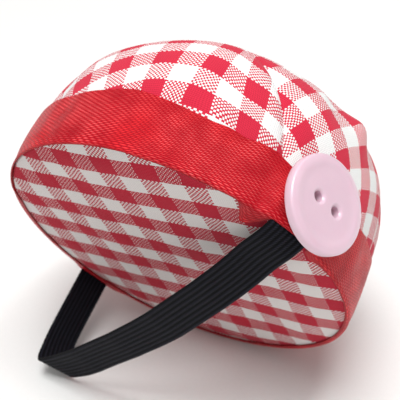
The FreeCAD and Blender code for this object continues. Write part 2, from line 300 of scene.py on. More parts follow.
def dome_columns():
    """Every mesh column's panel and share of the way across it, closer beside the folds."""
    columns = []
    for panel in range(len(PANELS)):
        width = fold_azimuth(panel + 1, FOLD_REFERENCE) - fold_azimuth(panel, FOLD_REFERENCE)
        count = round(width / PANEL_COLUMN_DEGREES)
        even = np.arange(count) / count
        bunched = (1 - np.cos(np.pi * even)) / 2
        columns += [(panel, share) for share in 0.55 * even + 0.45 * bunched]
    panels, shares = zip(*columns)
    return np.array(panels), np.array(shares)


def fold_valleys(azimuth, arc, panel):
    """How far the cloth dips below its puffed-up surface beside the folds of its own panel."""
    dip = np.zeros_like(azimuth)
    for fold, side, reach in ((panel, 1, VALLEY_AFTER), (panel + 1, -1, VALLEY_BEFORE)):
        depth, start = np.moveaxis(np.array(FOLDS)[fold % len(FOLDS), 2:], -1, 0)
        away = side * np.radians(azimuth - fold_azimuth(fold, arc)) * DOME_RADIUS
        fade = smoothstep(start, start + FOLD_FADE, arc)
        dip += fade * depth * np.exp(-np.clip(away, 0, None) / reach)
    return dip


def freedom(height):
    """How free of the ribbon the cover is at a height: from 0, where it is held, to 1."""
    return smoothstep(11, 19, height)


def dome_puff(azimuth, arc, panel, height):
    """How far the gathered cloth stands out from the dome's smooth outline."""
    puff = -fold_valleys(azimuth, arc, panel)
    # the wrinkles are drawn out down the dome, away from its crown
    ring = spun(34, np.radians(azimuth), arc * 0.35)
    for start, full, depth, size, seed in DOME_WRINKLES:
        puff += smoothstep(start, full, arc) * depth * noise_at(ring, size, seed)
    for place, width, along, length, rise in DOME_LUMPS:
        puff += rise * bell(azimuth, place, width) * bell(arc, along, length)
    puff *= smoothstep(DOME_FLOOR, DOME_FLOOR + 5, height)
    return np.minimum(puff, 0.05 + 2.5 * freedom(height))


def dome_surface(azimuth, arc, panel):
    """Points of the gathered dome and its outward directions."""
    height = np.interp(arc, ARC, ARC_HEIGHT)
    ahead, down = (np.interp(arc + 0.4, ARC, line) - np.interp(arc - 0.4, ARC, line)
                   for line in (ARC_RADIUS, -ARC_HEIGHT))
    length = np.hypot(ahead, down)
    angle = np.radians(azimuth)
    normal = spun(down / length, angle, ahead / length)
    points = spun(np.interp(arc, ARC, ARC_RADIUS), angle, height)
    points[..., :2] += smoothstep(WAIST, DOME_TOP, height)[..., None] * CROWN_SHIFT
    return points + normal * dome_puff(azimuth, arc, panel, height)[..., None], normal


def panel_fabric(azimuth, arc, panel):
    """Where a point would lie in the flat disc of gingham if all its threads were of one panel."""
    pivot, share, turn, *shift = np.moveaxis(np.array(PANELS)[panel % len(PANELS)], -1, 0)
    gathered = smoothstep(12, 30, arc)
    pull = np.where(panel == 0, 1.7 * bell(wrapped(azimuth, -9), 0, 22), 0)
    flat = np.radians(azimuth + gathered * (turn - pull - (1 - share) * wrapped(azimuth, pivot)))
    return spun(arc, flat, 0)[..., :2] + gathered[..., None] * np.stack(shift, -1)


def dome_fabric(azimuth, arc, panel):
    """Where a point of the dome lies in its flat disc of gingham. Above the folds each panel's
    threads run on smoothly into its neighbours'."""
    flat = panel_fabric(azimuth, arc, panel)
    shift = 0 * flat
    for fold, neighbour, side in ((panel, panel - 1, 1), (panel + 1, panel + 1, -1)):
        away = side * wrapped(azimuth - fold_azimuth(fold, arc), 0)
        weight = 0.5 * (1 - smoothstep(24, 34, arc)) * (1 - smoothstep(0, 22, away))
        shift += weight[..., None] * (panel_fabric(azimuth, arc, neighbour) - flat)
    return flat + shift


def fold_drag(azimuth, arc, panel):
    """How far the deepest fold pulls the threads of the panel before it along and across them."""
    beside = smoothstep(-40, -25, wrapped(azimuth, 0))
    along = 0.4 * (arc - 44) * beside * smoothstep(20, 34, arc)
    across = (0.7 - 2.2 * beside * (1 - smoothstep(44, 50, arc))) * smoothstep(12, 30, arc)
    return np.stack([along, across], -1) * (panel == DRAGGED_PANEL)[..., None]


def gingham_threads(flat, red_cell, thread_angle):
    """Flat positions in millimetres as counts of threads each way, from a red cell's corner."""
    angle = math.radians(thread_angle)
    turn = np.array([[math.cos(angle), -math.sin(angle)], [math.sin(angle), math.cos(angle)]])
    return (flat - red_cell) @ turn / THREAD_PITCH + THREADS / 4


def dome_grid():
    """Azimuth, arc length and panel over the dome's mesh, down to its floor."""
    panel, share = dome_columns()
    arc = np.linspace(0.7, ARC[-1], DOME_ROWS)[:, None]
    start = fold_azimuth(panel, arc)
    azimuth = start + (fold_azimuth(panel + 1, arc) - start) * share
    return azimuth, arc + 0 * azimuth, panel + np.zeros_like(azimuth, int)


def puff_up(item, loose):
    """Lets the cover swell a little under pressure, held where loose is 0."""
    before = np.array([vertex.co[:] for vertex in item.data.vertices])
    work = add_object("puffed_cover", item.data.copy())
    work.data.transform(Matrix.Scale(PUFF_SCALE, 4))
    held = work.vertex_groups.new(name="held")
    for number, weight in enumerate(1 - loose):
        held.add([number], float(weight), "REPLACE")
    cloth = work.modifiers.new("cloth", "CLOTH")
    for setting, value in COTTON.items():
        setattr(cloth.settings, setting, value)
    cloth.settings.effector_weights.gravity = 0
    cloth.collision_settings.use_collision = False
    for number in range(1, PUFF_FRAMES + 1):
        bpy.context.scene.frame_set(number)
    view = work.evaluated_get(bpy.context.evaluated_depsgraph_get())
    moved = np.array([vertex.co[:] for vertex in view.data.vertices]) / PUFF_SCALE - before
    bpy.data.objects.remove(work)
    bpy.context.scene.frame_set(1)
    length = np.linalg.norm(moved, axis=1, keepdims=True)
    moved *= np.minimum(1, PUFF_LIMIT * MM / np.maximum(length, 1e-9)) * loose[:, None]
    item.data.vertices.foreach_set("co", (before + moved).astype(np.float32).ravel())
    item.data.update()


def make_dome_cover(material):
    azimuth, arc, panel = dome_grid()
    points = dome_surface(azimuth, arc, panel)[0]
    share = np.arange(1, HEM_ROWS + 1)[:, None] / HEM_ROWS
    inward = 1 - share * (1 - HEM_INNER_RADIUS / DOME_RADIUS)
    hem = points[-1] * inward[..., None]
    hem[..., 2] = DOME_FLOOR
    points = np.concatenate([points, hem])
    arc = np.concatenate([arc, ARC[-1] + share * (DOME_RADIUS - HEM_INNER_RADIUS) + 0 * arc[-1]])
    azimuth, panel = (np.pad(grid, ((0, HEM_ROWS), (0, 0)), "edge") for grid in (azimuth, panel))
    item = add_shell("dome_cover_gingham", points, np.append(CROWN_SHIFT, DOME_TOP))
    puff_up(item, np.append(freedom(points[..., 2]), 1.0))
    set_fabric(item, dome_corners(item, azimuth, arc, panel))
    thicken(item)
    finish_piece(item, material, "dome_cover")


def dome_corners(item, azimuth, arc, panel):
    """Fabric coordinates at every face corner, so that they can jump at a fold."""
    numbers = loop_vertices(item)
    azimuth = np.append(azimuth, azimuth[0, 0])[numbers]
    arc = np.append(arc, 0)[numbers]
    panel = panel[0][face_numbers(item) % panel.shape[1]]
    threads = gingham_threads(dome_fabric(azimuth, arc, panel), RED_CELL, THREAD_ANGLE)
    return threads - fold_drag(azimuth, arc, panel) / THREAD_PITCH


# ---- the base's cover

BASE_WHITE_CELL = (-0.62, -40.64)
BASE_THREAD_ANGLE = 33.35
BASE_BULGE = 0.5
BASE_COLUMNS = 240
# the padded base's uneven face: how deep its lumps are, how wide, and their seed
BASE_LUMPS = [(0.25, 9.0, 3), (0.07, 3.5, 4)]


def base_sag(radius):
    """How far the padded base bulges below its rim."""
    return BASE_BULGE * smoothstep(0, 6, BASE_RADIUS - np.minimum(radius, BASE_RADIUS))


def base_profile():
    """Radius and height of the base's cover from its middle, round the rim and into the hem."""
    flat = np.linspace(0.6, BASE_RADIUS - 0.6, 44)
    rim = np.radians(np.linspace(-90, 0, 7)[1:])
    wall = np.linspace(1.2, BASE_TOP - 0.2, 4)
    hem = np.linspace(BASE_RADIUS - 0.5, HEM_INNER_RADIUS, 6)
    radius = [flat, BASE_RADIUS - 0.6 + 0.5 * np.cos(rim), 0 * wall + BASE_RADIUS - 0.1, hem]
    height = [0 * flat, 0.5 + 0.5 * np.sin(rim), wall, 0 * hem + BASE_TOP]
    return np.concatenate(radius), np.concatenate(height)


def make_base_cover(material):
    radius, height = base_profile()
    angle = np.radians(np.arange(BASE_COLUMNS) * 360 / BASE_COLUMNS)
    points = spun(radius[:, None], angle, (height - base_sag(radius))[:, None])
    lumps = sum(noise_at(points, size, seed) * depth for depth, size, seed in BASE_LUMPS)
    padded = (height < 0.5) * smoothstep(0, 4, BASE_RADIUS - radius)
    points[..., 2] += lumps * padded[:, None]
    item = add_shell("base_cover_gingham", points, (0, 0, -BASE_BULGE), flip=True)

    reach = way_along(radius, height)[:, None]
    flat = np.vstack([spun(reach, angle, 0).reshape(-1, 3), (0, 0, 0)])
    threads = gingham_threads(flat[loop_vertices(item), :2], BASE_WHITE_CELL, BASE_THREAD_ANGLE)
    set_fabric(item, threads + THREADS / 2)
    thicken(item)
    finish_piece(item, material, "base_cover")


# ---- the ribbon

RIBBON_COLUMNS = 480
RIBBON_THICKNESS = 0.3
# how far its face usually stands out from the base
RIBBON_REACH = 0.55
# how much further the ribbon stands out over the strap's far end, which tilts as the loop opens
FAR_SWELL = 1.5
# azimuth and height of the ribbon's top edge
RIBBON_TOP = [(-180, 12.4), (-100, 11.2), (-84, 10.6), (-70, 11.2), (-63, 11.5), (-54, 12.1),
              (-45, 11.2), (-36, 10.5), (-30, 10.1), (-25, 10.4), (-20, 10.0), (-16, 10.6),
              (-11, 10.8), (-6, 10.0), (4, 9.6), (24, 10.8), (34, 11.4), (60, 11.8), (120, 12.2),
              (180, 12.4)]
# azimuth and radius to which the ribbon's lower edge is lapped under the base
RIBBON_LAP = [(-180, 33.6), (-130, 33.8), (-110, 36.5), (-60, 36.5), (-45, 34.6), (-23, 34.5),
              (-19, 34.7), (-15.4, 34.9), (-14, 34.0), (-10.6, 30.5), (-9.4, 30.3), (-8, 30.8),
              (-5.6, 33.4), (-4.4, 36.5), (8.4, 36.5), (10, 34.0), (14, 33.3), (17, 34.2),
              (24, 34.7), (60, 34.2), (110, 33.6), (180, 33.6)]


def around(table, azimuth):
    """A value from a table of (azimuth, value) pairs, smoothed a little."""
    return np.mean([eased(table, wrapped(azimuth + turn, 0), 0) for turn in (-0.5, 0, 0.5)], 0)


def ribbon_profile(azimuth):
    """Radius and height round one closed cross-section at each azimuth, from the lapped edge
    under the base, up the outer face and back down inside."""
    raised = node_box("ribbon_band")[1][0] - BASE_RADIUS - RIBBON_REACH
    strap = sum(swell * (1 - smoothstep(6.8, 12.5, np.abs(wrapped(azimuth, side))))
                for side, swell in ((1.4, 1), (178.6, FAR_SWELL)))
    top = around(RIBBON_TOP, azimuth)

    def face(height):
        barrel = 0.3 + 0.28 * np.sin(np.pi * np.clip(height, 0, 12) / 12) ** 0.7
        return BASE_RADIUS + barrel + raised * strap * (1 - smoothstep(4.6, 8.6, height))

    bottom = face(0 * azimuth)
    lap = np.minimum(around(RIBBON_LAP, azimuth), bottom - 0.35)
    low = -0.36 - base_sag(lap) - 0.2 * smoothstep(1, 4, BASE_RADIUS - lap)
    corner = np.clip(0.8 * (bottom - lap), 0.2, 0.6)
    under = [(lap, low), ((lap + bottom - corner) / 2, (low - 0.37) / 2), (bottom - corner, -0.36),
             (bottom - 0.3 * corner, -0.36 + 0.3 * corner), (bottom, -0.36 + corner), (bottom, 1.2)]
    wall = [(face(top * share), top * share) for share in np.linspace(0.25, 1, 20)]
    inside = [(radius - RIBBON_THICKNESS, height) for radius, height in reversed(wall)]
    inner = bottom - RIBBON_THICKNESS
    tucked = [(inner, 1.2), (inner, 0.5), (np.maximum(inner - 0.3, lap + 0.02), -0.08),
              (lap + 0.02, low + 0.26)]
    radii, heights = zip(*under, *wall, *inside, *tucked)
    return np.array(radii), np.array([height + 0 * azimuth for height in heights])


def make_ribbon(material):
    azimuth = np.arange(RIBBON_COLUMNS) * 360 / RIBBON_COLUMNS - 180
    radius, height = ribbon_profile(azimuth)
    rows, columns = radius.shape
    width = way_along(radius[:, 0], height[:, 0])
    angle = np.radians(azimuth)
    ring = spun(35, angle, height)
    free = smoothstep(-0.4, 2.5, height)
    crumpled = bell(azimuth, -11, 7) * bell(height, 1.5, 5)
    radius = radius + free * 0.16 * noise_at(ring * [1, 1, 0.45], 3.4, 5)
    radius += free * 0.2 * noise_at(ring, 9, 6)
    radius += crumpled * 0.3 * noise_at(ring * [1.6, 1.6, 0.6], 2.4, 10)
    height = height + 0.12 * noise_at(ring, 5.0, 7) * smoothstep(2, 9, height)
    faces = grid_faces(rows, columns, wrap_rows=True)
    item = add_mesh("ribbon_satin", spun(radius, angle, height), faces, 50)

    numbers = loop_vertices(item)
    u = np.tile(angle * BASE_RADIUS, rows)[numbers]
    around_seam = (face_numbers(item) % columns == columns - 1) & (u < 0)
    u = np.where(around_seam, u + 2 * np.pi * BASE_RADIUS, u)
    set_fabric(item, np.stack([u, np.repeat(width, columns)[numbers]], -1))
    finish_piece(item, material, "ribbon_band")


# ---- the elastic strap

STRAP_WIDTH = 7.5
STRAP_HALF_THICKNESS = 0.42
RIBS = 8
RIB_POINTS = 6
RIB_DEPTH = 0.14
STRAP_STEP = 0.55
# how far its edges waver, and how far apart the wavers are
EDGE_WAVER = 0.05
EDGE_PITCH = 1.1
# how far its line runs inside its CAD ends, and how far it reaches in under the ribbon
STRAP_INSET = 0.45
STRAP_TUCK = 14
# how its line is rounded at the near tuck's two corners, along its free length and at its fold
NEAR_BENDS = [1.0, 1.2]
FREE_BEND = 30.0
FOLD_BEND = 1.7
# how far one edge is carried along +X past the other at the slanting fold, as a share of the width
STRAP_LEAN = [(0.67, 0), (0.74, 0.22), (0.785, 0.38), (0.81, 0.18), (0.84, 0), (1, 0)]
# inside the ribbon the anchored far end starts this high, clear of the swinging strap
FAR_ANCHOR_START = 3.4
# how far the strap's middle drifts sideways from its hinges, and its width as a share of the usual,
# at shares of its length from the near tuck to the far one
STRAP_DRIFT = [(0, -0.3), (0.2, -0.5), (0.265, 0.55), (0.41, 1.3), (0.48, 1.65), (0.546, 1.4),
               (0.618, 1.15), (0.66, 1.1), (0.72, 0.95), (0.765, 0.5), (0.8, -0.45), (0.83, -1.15),
               (0.86, -1.35), (1, -1.4)]
STRAP_SPREAD = [(0, 1), (0.2, 1.06), (0.45, 1.14), (0.6, 1.1), (0.7, 1.12), (0.76, 1.1), (0.835, 0.92),
                (1, 0.93)]
# the strap's line lies in the plane of its hinges, in which a point is (x, z)
HINGES = [np.array([joint["pos_m"][0], joint["pos_m"][2]]) / MM for joint in frame["joints"]]
HINGE_SIDE = frame["joints"][0]["pos_m"][1] / MM
NEAR_BACK, _, TUCK_LEVEL = node_box("strap_near_end")[1] - STRAP_INSET
FAR_BACK = node_box("strap_far_end")[0][0] + STRAP_INSET
NEAR_CORNERS = [(NEAR_BACK - STRAP_TUCK, TUCK_LEVEL), (NEAR_BACK, TUCK_LEVEL), (NEAR_BACK, -0.3),
                (NEAR_BACK - 2.6, -2.25)]


def rounded(points, radii, step):
    """A polyline with each inner corner rounded to its own radius, sampled at even steps."""
    path = [points[0]]
    for before, corner, after, radius in zip(points, points[1:], points[2:], radii):
        back_length, on_length = (np.linalg.norm(point - corner) for point in (before, after))
        back, on = (before - corner) / back_length, (after - corner) / on_length
        half = math.acos(np.clip(back @ on, -1, 1)) / 2
        cut = min(radius / math.tan(half), 0.49 * back_length, 0.49 * on_length)
        a, b = corner + back * cut, corner + on * cut
        path += [(1 - t) ** 2 * a + 2 * t * (1 - t) * corner + t * t * b for t in np.linspace(0, 1, 16)]
    path = np.array([*path, points[-1]]).T
    length = way_along(*(path - path[:, :1]))
    even = np.linspace(0, length[-1], max(2, round(length[-1] / step) + 1))
    return np.stack([np.interp(even, length, line) for line in path], 1), even


def strap_line():
    """The whole centre line, and the length along it of each of its points."""
    corners = np.array([*NEAR_CORNERS, *HINGES[1:], (FAR_BACK, 1.5)])
    radii = NEAR_BENDS + [FREE_BEND] * (len(corners) - 6) + [FOLD_BEND, FREE_BEND]
    return rounded(corners, radii, STRAP_STEP)


STRAP_LINE, STRAP_LENGTH = strap_line()


def rib_section():
    """The elastic's cross-section as (across, up) points: rounded ribs on both faces."""
    count = RIBS * RIB_POINTS
    share = np.linspace(0, 1, count + 1)
    rib = np.abs(np.sin(np.pi * RIBS * share)) ** 0.7
    edge = np.sqrt(np.clip(1 - (2 * np.abs(share - 0.5)) ** 24, 0, 1))
    up = (STRAP_HALF_THICKNESS - RIB_DEPTH + RIB_DEPTH * rib) * (0.35 + 0.65 * edge)
    across = (share - 0.5) * STRAP_WIDTH
    return np.column_stack([np.append(across, across[::-1]), np.append(up, -up[::-1])])


def sweep(name, line, length, thickness=1.0):
    """The elastic's cross-section swept along a line in the strap's plane."""
    section = rib_section()
    tangent = np.gradient(line, axis=0)
    tangent /= np.linalg.norm(tangent, axis=1, keepdims=True)
    up = np.stack([-tangent[:, 1], tangent[:, 0]], 1)
    way = length / STRAP_LENGTH[-1]
    waver = 1 + EDGE_WAVER / (STRAP_WIDTH / 2) * np.sin(length * 2 * np.pi / EDGE_PITCH)
    reach = section[:, 0] * (eased(STRAP_SPREAD, way, 0.03) * waver)[:, None]
    lean = eased(STRAP_LEAN, way, 0.012)[:, None] * (reach + STRAP_WIDTH / 2)
    side = HINGE_SIDE + eased(STRAP_DRIFT, way, 0.03)[:, None]
    raised = section[:, 1] * thickness
    points = np.stack([line[:, :1] + lean + up[:, :1] * raised, side + reach,
                       line[:, 1:] + up[:, 1:] * raised], -1)
    rows, columns = points.shape[:2]
    faces = grid_faces(rows, columns)
    for first in (0, (rows - 1) * columns):
        cap = [(first + k, first + k + 1, first + columns - 2 - k, first + columns - 1 - k)
               for k in range(columns // 2 - 1)]
        faces += cap if first else [face[::-1] for face in cap]
    item = add_mesh(name, points, faces, 70)
    ribs = np.tile(section[:, 0] / STRAP_WIDTH * RIBS, rows)
    set_fabric(item, np.stack([np.repeat(length, columns), ribs], -1)[loop_vertices(item)])
    return item


def strap_cuts():
    """The numbers of the line's points at which the pieces of elastic start and end."""
    marks = [np.array(NEAR_CORNERS[-1]), *HINGES[1:]]
    middles = [(a + b) / 2 for a, b in zip(marks, marks[1:])]
    cuts = [int(np.argmin(np.linalg.norm(STRAP_LINE - middle, axis=1))) for middle in middles]
    return [0, *cuts, len(STRAP_LINE) - 1]


def make_strap(material):
    """One piece of elastic per hinge, cut at the middles of the sections between hinges."""
    cuts = strap_cuts()
    for number, joint in enumerate(frame["joints"]):
        piece = slice(cuts[number], cuts[number + 1] + 1)
        item = sweep(f"strap_piece_{number}", STRAP_LINE[piece], STRAP_LENGTH[piece])
        item.data.materials.append(material)
        start, end = STRAP_LINE[piece][0], STRAP_LINE[piece][-1]
        nodes = [f"strap_section_{number}"]
        if number == 0:
            start = NEAR_CORNERS[-2]
            nodes.insert(0, "strap_near_end")
        if number == len(HINGES) - 1:
            end = (HINGES[-1] + end) / 2
        start, end = (Vector((x, HINGE_SIDE, z)) * MM for x, z in (start, end))
        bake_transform(item)
        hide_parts(*nodes)
    corners = np.array([(FAR_BACK, FAR_ANCHOR_START), (FAR_BACK, TUCK_LEVEL),
                        (FAR_BACK + STRAP_TUCK, TUCK_LEVEL)])
    line, length = rounded(corners, [1.0], STRAP_STEP)
    anchor = sweep("strap_far_anchor", line, STRAP_LENGTH[-1] + length, thickness=0.85)
    finish_piece(anchor, material, "strap_far_end")


# ---- the button

BUTTON_TURN = 7.5
BUTTON_TILT = 4.0
BUTTON_RADIUS = 8.45
BUTTON_HOLE_RADIUS = 0.95
BUTTON_HOLE_MOUTH = 1.6
BUTTON_HOLE_OFFSET = 2.2
EDGE_POINTS = 96
HOLE_POINTS = 32
LIP_RINGS = 7
# the moulded face and back as (radius, height above the back), and how round each corner is
BUTTON_FACE = [(0.0, 2.4), (5.9, 2.4), (7.1, 2.6), (8.45, 2.3), (8.45, 1.3)]
FACE_BENDS = [3.0, 1.6, 0.9]
BUTTON_BACK = [(0.0, 0.3), (7.6, 0.3), (8.45, 0.7), (8.45, 1.3)]
BACK_BENDS = [0.8, 0.6]


def hole_distance(points):
    """How far each flat point is from the middle of the nearer sewing hole."""
    return np.hypot(np.abs(points[:, 0]) - BUTTON_HOLE_OFFSET, points[:, 1])


def ring_points(radius, count, across=0.0):
    """Flat points round a circle whose middle lies across from the button's."""
    return spun(radius, np.arange(count) * 2 * np.pi / count, 0)[:, :2] + (across, 0)


def button_plan():
    """Flat points and triangles over the button's face with its holes left out, then the numbers
    of the points round each hole. The points round the button's edge come first."""
    rim = BUTTON_RADIUS - 2.2 * np.linspace(1, 0, 12) ** 2
    disc = [ring_points(r, round(8 + 9 * r)) for r in np.linspace(0.5, 5.9, 11)]
    disc += [ring_points(r, EDGE_POINTS) for r in rim[:-1]]
    disc = np.vstack(disc)
    disc = disc[hole_distance(disc) > BUTTON_HOLE_MOUTH + 0.2]
    edge = ring_points(rim[-1], EDGE_POINTS)
    lips = [ring_points(r, HOLE_POINTS, side * BUTTON_HOLE_OFFSET) for side in (-1, 1)
            for r in np.linspace(BUTTON_HOLE_RADIUS, BUTTON_HOLE_MOUTH, LIP_RINGS)]
    flat = np.vstack([edge, *lips, disc])
    made = delaunay_2d_cdt([Vector(point) for point in flat], [], [], 0, 1e-6)
    flat = np.array([point[:] for point in made[0]])
    middles = flat[np.array(made[2])].mean(1)
    triangles = [tuple(t) for t, d in zip(made[2], hole_distance(middles)) if d > BUTTON_HOLE_RADIUS]
    holes = [list(range(first, first + HOLE_POINTS))
             for first in (EDGE_POINTS, EDGE_POINTS + HOLE_POINTS * LIP_RINGS)]
    return flat, triangles, holes


def make_button(material):
    """The moulded button: a nearly flat face inside a soft rounded rim, with two sewing holes."""
    flat, triangles, holes = button_plan()
    radius = np.hypot(*flat.T)
    face = rounded(np.array(BUTTON_FACE), FACE_BENDS, 0.1)[0]
    back = rounded(np.array(BUTTON_BACK), BACK_BENDS, 0.1)[0]
    mouth = 0.4 * np.clip(1 - (hole_distance(flat) - BUTTON_HOLE_RADIUS) / 0.6, 0, 1) ** 2
    front = np.interp(radius, *face.T) - mouth
    front[:EDGE_POINTS] = BUTTON_FACE[-1][1]
    rear = np.column_stack([flat, np.interp(radius, *back.T)])
    points = np.vstack([np.column_stack([flat, front]), rear[EDGE_POINTS:]])
    # the number of the point behind each point of the face; the edge's points are shared
    behind = [n if n < EDGE_POINTS else n + len(flat) - EDGE_POINTS for n in range(len(flat))]
    faces = triangles + [tuple(behind[n] for n in reversed(t)) for t in triangles]
    for ring in holes:
        faces += [(b, a, behind[a], behind[b]) for a, b in zip(ring, ring[1:] + ring[:1])]
    turn, tilt = np.radians(BUTTON_TURN), np.radians(BUTTON_TILT)
    out = spun(np.cos(tilt), turn, np.sin(tilt))
    aside = np.array([-np.sin(turn), np.cos(turn), 0.0])
    low, high = node_box("button")
    middle = (low + high) / 2 - out * BUTTON_FACE[-1][1] * 1.1
    placed = middle + points @ np.array([aside, np.cross(out, aside), out])
    item = add_mesh("button_moulded", placed, faces, 50)
    finish_piece(item, material, "button")


# ---- the padding

# how far the filling stays inside the outer face of the dome's cover
COVER_GAP = 0.75


def make_stuffing(material):
    """The fibre filling: the dome's own shape, a little smaller and lumpy, flat underneath."""
    points, normal = dome_surface(*dome_grid())
    floor = node_box("dome_stuffing")[0][2]
    points = points - normal * COVER_GAP
    points += normal * (0.18 * noise_at(points, 2.6, 8))[..., None]
    points[..., 2] = np.maximum(points[..., 2], floor)
    crown = np.append(CROWN_SHIFT, DOME_TOP - COVER_GAP)
    item = add_shell("stuffing_fibre", points, crown, (0, 0, floor))
    finish_piece(item, material, "dome_stuffing")


def make_wadding(material):
    """A disc of soft wadding with a slightly uneven face and a soft edge."""
    low, high = node_box("base_wadding")
    middle, half = (low[2] + high[2]) / 2, (high[2] - low[2]) / 2
    rim = np.radians(np.linspace(-90, 90, 9))
    flat = np.linspace(0.8, high[0] - half, 16)
    radius = np.concatenate([flat, high[0] - half + half * np.cos(rim), flat[::-1]])
    height = np.concatenate([0 * flat - half, half * np.sin(rim), 0 * flat + half]) + middle
    points = spun(radius[:, None], np.radians(np.arange(0, 360, 3)), height[:, None])
    inset = 1 - 0.08 * (1 + noise_at(points, 2.2, 9))
    points[..., 2] = middle + (points[..., 2] - middle) * inset
    item = add_shell("base_wadding_loft", points, (0, 0, low[2]), (0, 0, high[2]), flip=True)
    finish_piece(item, material, "base_wadding")


# ---- shader arithmetic


def plug(tree, value, slot):
    """Links a node's input to another node's output, or sets it to a number, colour or vector."""
    if isinstance(value, Value):
        tree.links.new(value.socket, slot)
    else:
        slot.default_value = (*value, 1.0) if slot.type == "RGBA" else value


def add_node(tree, kind, inputs, output=0, **settings):
    """One output of a new shader node, whose inputs are given by name or number."""
    node = tree.nodes.new(f"ShaderNode{kind}")
    for name, value in settings.items():
        setattr(node, name, value)
    for slot, value in inputs.items():
        plug(tree, value, node.inputs[slot])
    return Value(tree, node.outputs[output])


class Value:
    """An output of a shader node. Arithmetic on it adds Math nodes to its tree."""

    def __init__(self, tree, socket):
        self.tree = tree
        self.socket = socket

    def math(self, operation, *others):
        return add_node(self.tree, "Math", dict(enumerate((self, *others))), operation=operation)

    __add__ = partialmethod(math, "ADD")
    __sub__ = partialmethod(math, "SUBTRACT")
    __mul__ = partialmethod(math, "MULTIPLY")
    __truediv__ = partialmethod(math, "DIVIDE")
    __mod__ = partialmethod(math, "FLOORED_MODULO")
    __pow__ = partialmethod(math, "POWER")
    __gt__ = partialmethod(math, "GREATER_THAN")
    __lt__ = partialmethod(math, "LESS_THAN")
    floor = partialmethod(math, "FLOOR")
    fraction = partialmethod(math, "FRACT")
    absolute = partialmethod(math, "ABSOLUTE")
    sine = partialmethod(math, "SINE")

    def between(self, low, high):
        """The value scaled from low..high to 0..1, kept within it."""
        return add_node(self.tree, "MapRange", {0: self, 1: low, 2: high})

    def number_blend(self, low, high):
        """low where the value is 0 and high where it is 1."""
        return add_node(self.tree, "Mix", {0: self, 2: low, 3: high})

    def blend(self, low, high):
        """The colour low where the value is 0 and high where it is 1."""
        return add_node(self.tree, "Mix", {0: self, 6: low, 7: high}, 2, data_type="RGBA")

    def dimmed(self, share):
        """The colour multiplied by a share."""
        return add_node(self.tree, "Mix", {0: 1, 6: self, 7: share}, 2, data_type="RGBA",
                        blend_type="MULTIPLY")


class Material:
    """A node material with one Principled shader and helpers to feed it."""

    def __init__(self, name):
        self.block = bpy.data.materials.new(name)
        self.block.use_nodes = True
        self.tree = self.block.node_tree
        self.shader = self.tree.nodes["Principled BSDF"]

    def set(self, **inputs):
        for name, value in inputs.items():
            plug(self.tree, value, self.shader.inputs[name.replace("_", " ")])

    def split(self, vector):
        """The three coordinates of a vector."""
        first = add_node(self.tree, "SeparateXYZ", {0: vector})
        return [Value(self.tree, socket) for socket in first.socket.node.outputs]

    def fabric(self):
        """The two coordinates stored on the mesh by set_fabric."""
        return self.split(add_node(self.tree, "Attribute", {}, "Vector", attribute_name="fabric"))[:2]

    def place(self):
        """The point on the object, in metres."""
        return add_node(self.tree, "TexCoord", {}, "Object")

    def noise(self, size, detail=3, roughness=0.5):
        """Noise with features about a size across, in metres, from 0 to 1."""
        inputs = {"Vector": self.place(), "Scale": 1 / size, "Detail": detail, "Roughness": roughness}
        return add_node(self.tree, "TexNoise", inputs)

    def bump(self, height, depth, strength=1.0):
        """Raises the surface by height times depth, in metres."""
        inputs = {"Height": height, "Distance": depth, "Strength": strength}
        self.set(Normal=add_node(self.tree, "Bump", inputs))


# ---- materials


def gingham(name, red, white, white_lead, red_lead):
    """Plain-woven cotton with dyed and white stripes both ways, thread by thread.

    The leads set how much of the threads that run along shows beside a cross thread, where they
    are white and where they are red: less for a larger number."""
    made = Material(name)
    u, v = made.fabric()
    u = u + made.noise(0.0022, 2) * 1.2
    v = v + made.noise(0.0026, 2) * 1.2
    across_red = (u % THREADS) < THREADS / 2
    along_red = (v % THREADS) < THREADS / 2
    over = (u.floor() + v.floor()) % 2
    du, dv = (u.fraction() - 0.5).absolute(), (v.fraction() - 0.5).absolute()
    # a thread that runs along u lies on top in every other square, and shows beside a thin cross thread
    lead = along_red.number_blend(white_lead, red_lead)
    along_top = over.number_blend(du > lead, dv < 0.47)
    dyed = along_top.number_blend(across_red, along_red)
    across_distance = along_top.number_blend(du, dv)
    along_distance = along_top.number_blend(dv, du)
    height = (across_distance ** 2 * -3.0 + 1) * (along_distance ** 2 * -1.6 + 1)
    red_tone = made.noise(0.006).blend([c * 0.9 for c in red], [min(1, c * 1.12) for c in red])
    white_tone = made.noise(0.00018, 2).blend([c * 0.93 for c in white], white)
    shade = height.between(-0.1, 0.75).number_blend(dyed.number_blend(0.55, 0.45), 1.0)
    made.set(Base_Color=dyed.blend(white_tone, red_tone).dimmed(shade), Roughness=0.85,
             Sheen_Weight=0.12, Sheen_Roughness=0.5, Specular_IOR_Level=0.1)
    made.bump(height, 0.00008, 0.7)
    return made.block


def satin(name, colour, painted_lit_red):
    """Satin-woven ribbon: long floats in diagonal steps, with their light and shade painted into the
    colour.
    """
    made = Material(name)
    u, v = made.fabric()
    row = v / 0.34
    along = (u + row.floor() * 0.62) / 1.5
    nick = (along.fraction() - 0.5).absolute()
    ridge = ((row.fraction() - 0.5).absolute() ** 2 * -4.0 + 1) * (nick ** 2 * -3.4 + 1)
    # painted shade: darker in the nicks between floats and in soft mottles that stand for folds
    painted_shading = ridge.between(0.15, 1.0) * made.noise(0.0045, 2).between(0.18, 0.62)
    # painted highlight: brighter dashes on the float crests, over the painted lit red of the floats
    glint = ridge.between(0.62, 0.95) * made.noise(0.013, 1).between(0.44, 0.6)
    bright = glint.blend(painted_lit_red, [min(1, c + 0.12) for c in painted_lit_red])
    # the satin's own red, dimmed, is the painted shaded tone; the brighter red is the painted lit tone
    made.set(Base_Color=painted_shading.blend([c * 0.6 for c in colour], bright),
             Roughness=made.noise(0.0015, 2).number_blend(0.26, 0.44),
             Specular_IOR_Level=0.25, Specular_Tint=(1.0, 0.35, 0.35), Anisotropic=0.5)
    made.bump(ridge, 0.00010)
    return made.block


